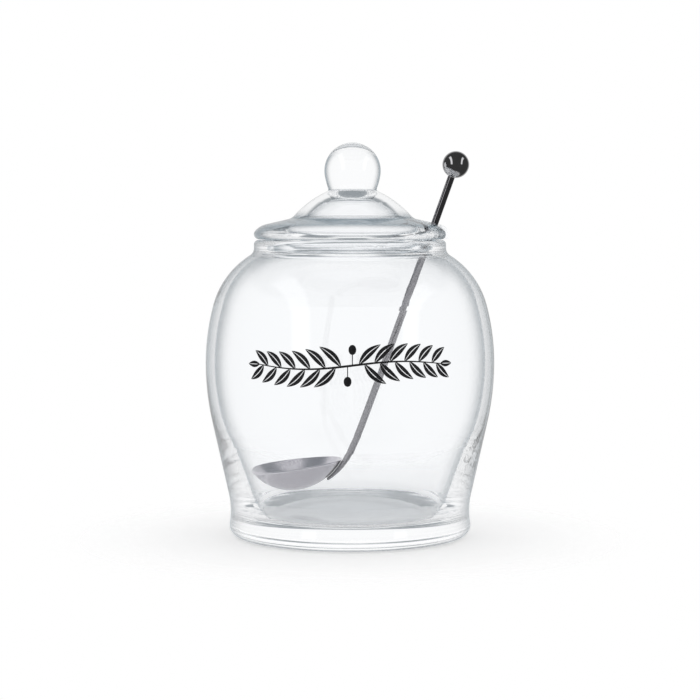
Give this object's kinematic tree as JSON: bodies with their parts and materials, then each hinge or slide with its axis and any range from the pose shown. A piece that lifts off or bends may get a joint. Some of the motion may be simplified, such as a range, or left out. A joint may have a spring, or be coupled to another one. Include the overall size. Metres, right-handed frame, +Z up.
{
  "type": "glass olive jar with lid and ladle",
  "caption": "Clear glass serving jar, empty, with a knobbed glass lid and a long-handled steel ladle standing through the lid's notch.",
  "frame": {"origin": "middle of the jar's foot, on the surface that it stands on", "axes": "+Z up along the jar's axis, -Y towards the printed front, +X towards the side where the ladle leans out"},
  "size_m": [0.1026, 0.1026, 0.1397],
  "materials": {
    "jar_glass": "clear polished glass",
    "lid_glass": "clear polished glass",
    "bowl_steel": "satin stainless steel",
    "handle_steel": "polished stainless steel wire",
    "ball_steel": "mirror-polished steel",
    "print_black": "matt black fired-on print"
  },
  "bodies": {
    "root": {"jar": "jar_glass", "lid": "lid_glass", "ladle_bowl": "bowl_steel", "ladle_handle": "handle_steel", "ladle_ball": "ball_steel"}
  },
  "joints": []
}
